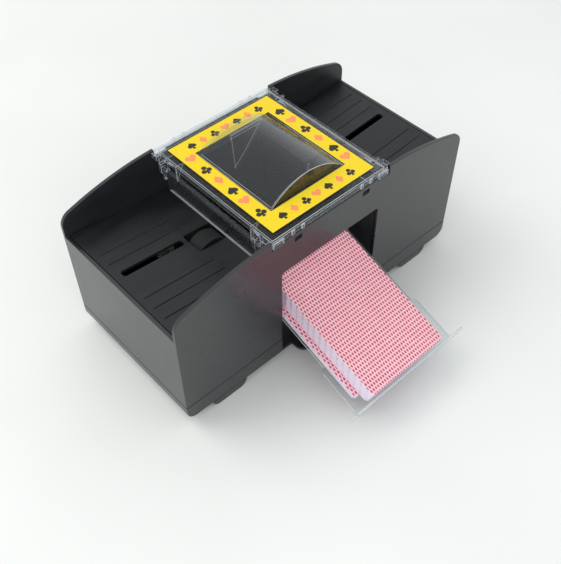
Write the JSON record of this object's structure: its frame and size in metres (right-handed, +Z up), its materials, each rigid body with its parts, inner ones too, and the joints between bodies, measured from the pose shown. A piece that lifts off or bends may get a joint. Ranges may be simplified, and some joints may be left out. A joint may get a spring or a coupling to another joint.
{
  "type": "card shuffler",
  "caption": "Battery-driven card shuffler: two sloped feed decks with rubber rollers, a clear domed cover with hanging gates, and a clear pull-out tray that holds the shuffled cards.",
  "frame": {"origin": "on the ground under the middle of the whole object, with its tray pulled out as it stands at rest", "axes": "+X along the body towards the right-hand card bay, +Y towards the back (the tray pulls out towards -Y), +Z up"},
  "size_m": [0.218, 0.1736, 0.1127],
  "materials": {
    "housing_black": "satin moulded",
    "foot_black": "matt",
    "steel": "nickel plated",
    "motor_case": "plated can",
    "brass": "turned",
    "nylon_white": "moulded",
    "tyre_rubber": "matt",
    "battery_case": "foil wrap",
    "clear_plastic": "clear, polished",
    "label_yellow": "gloss printed",
    "card_stock": "coated",
    "button_red": "satin moulded"
  },
  "bodies": {
    "housing": {"housing_shell": "housing_black", "base_cover": "housing_black", "left_feed_deck": "housing_black", "right_feed_deck": "housing_black", "battery_box": "housing_black", "left_gear_bracket": "housing_black", "right_gear_bracket": "housing_black", "start_switch": "housing_black", "foot_front_left": "foot_black", "foot_front_right": "foot_black", "foot_rear_left": "foot_black", "foot_rear_right": "foot_black", "housing_screw_front_left": "steel", "housing_screw_front_right": "steel", "housing_screw_rear_left": "steel", "housing_screw_rear_right": "steel", "left_idler_pin": "steel", "right_idler_pin": "steel", "battery_spring_1": "steel", "battery_spring_2": "steel", "battery_spring_3": "steel", "battery_spring_4": "steel", "battery_link_strip_1": "steel", "battery_link_strip_2": "steel", "battery_link_strip_3": "steel", "button_spring": "steel", "left_motor": "motor_case", "right_motor": "motor_case", "left_front_bush": "brass", "left_rear_bush": "brass", "right_front_bush": "brass", "right_rear_bush": "brass", "battery_cell_1": "battery_case", "battery_cell_2": "battery_case", "battery_cell_3": "battery_case", "battery_cell_4": "battery_case"},
    "card_tray": {"card_tray": "clear_plastic", "card_deck_lower": "card_stock", "card_deck_upper": "card_stock"},
    "top_cover": {"top_cover": "clear_plastic", "window_label": "label_yellow"},
    "left_gate": {"left_gate": "clear_plastic"},
    "right_gate": {"right_gate": "clear_plastic"},
    "start_button": {"start_button": "button_red"},
    "battery_door": {"battery_door": "housing_black"},
    "left_roller": {"left_roller_shaft": "steel", "left_roller_hub": "nylon_white", "left_roller_tyre": "tyre_rubber", "left_roller_gear": "nylon_white"},
    "left_idler": {"left_idler_gear": "nylon_white"},
    "left_motor_rotor": {"left_motor_pinion": "brass", "left_motor_shaft": "steel"},
    "right_roller": {"right_roller_shaft": "steel", "right_roller_hub": "nylon_white", "right_roller_tyre": "tyre_rubber", "right_roller_gear": "nylon_white"},
    "right_idler": {"right_idler_gear": "nylon_white"},
    "right_motor_rotor": {"right_motor_pinion": "brass", "right_motor_shaft": "steel"}
  },
  "joints": [
    {"name": "tray_slide", "type": "slide", "parent": "housing", "child": "card_tray", "axis": [0, 0.9426, 0.3338], "range_m": [0, 0.035]},
    {"name": "cover_lift", "type": "slide", "parent": "housing", "child": "top_cover", "axis": [0, 0, 1], "range_m": [0, 0.04]},
    {"name": "start_button_press", "type": "slide", "parent": "housing", "child": "start_button", "axis": [0, -1, 0], "range_m": [0, 0.0015], "stiffness_N_per_m": 300, "springref_m": -0.001, "deforming": ["button_spring"]},
    {"name": "battery_door_slide", "type": "slide", "parent": "housing", "child": "battery_door", "axis": [0, 1, 0], "range_m": [0, 0.01]},
    {"name": "left_gate_swing", "type": "hinge", "parent": "top_cover", "child": "left_gate", "pos_m": [-0.0444, 0.03295, 0.095], "axis": [0, 1, 0], "range_deg": [0, 60]},
    {"name": "left_roller_spin", "type": "hinge", "parent": "housing", "child": "left_roller", "pos_m": [-0.049, 0.03295, 0.0623], "axis": [0, 1, 0], "continuous": true},
    {"name": "left_idler_spin", "type": "hinge", "parent": "housing", "child": "left_idler", "pos_m": [-0.05801, 0.03295, 0.05634], "axis": [0, 1, 0], "continuous": true},
    {"name": "left_motor_spin", "type": "hinge", "parent": "housing", "child": "left_motor_rotor", "pos_m": [-0.065, 0.03295, 0.04284], "axis": [0, 1, 0], "continuous": true},
    {"name": "right_gate_swing", "type": "hinge", "parent": "top_cover", "child": "right_gate", "pos_m": [0.0444, 0.03295, 0.095], "axis": [0, -1, 0], "range_deg": [0, 60]},
    {"name": "right_roller_spin", "type": "hinge", "parent": "housing", "child": "right_roller", "pos_m": [0.049, 0.03295, 0.0623], "axis": [0, 1, 0], "continuous": true},
    {"name": "right_idler_spin", "type": "hinge", "parent": "housing", "child": "right_idler", "pos_m": [0.05801, 0.03295, 0.05634], "axis": [0, 1, 0], "continuous": true},
    {"name": "right_motor_spin", "type": "hinge", "parent": "housing", "child": "right_motor_rotor", "pos_m": [0.065, 0.03295, 0.04284], "axis": [0, 1, 0], "continuous": true}
  ],
  "couplings": [
    {"joint": "left_idler_spin", "follows": "left_roller_spin", "ratio": -1.25},
    {"joint": "left_motor_spin", "follows": "left_roller_spin", "ratio": 3.5},
    {"joint": "right_idler_spin", "follows": "right_roller_spin", "ratio": -1.25},
    {"joint": "right_motor_spin", "follows": "right_roller_spin", "ratio": 3.5}
  ]
}
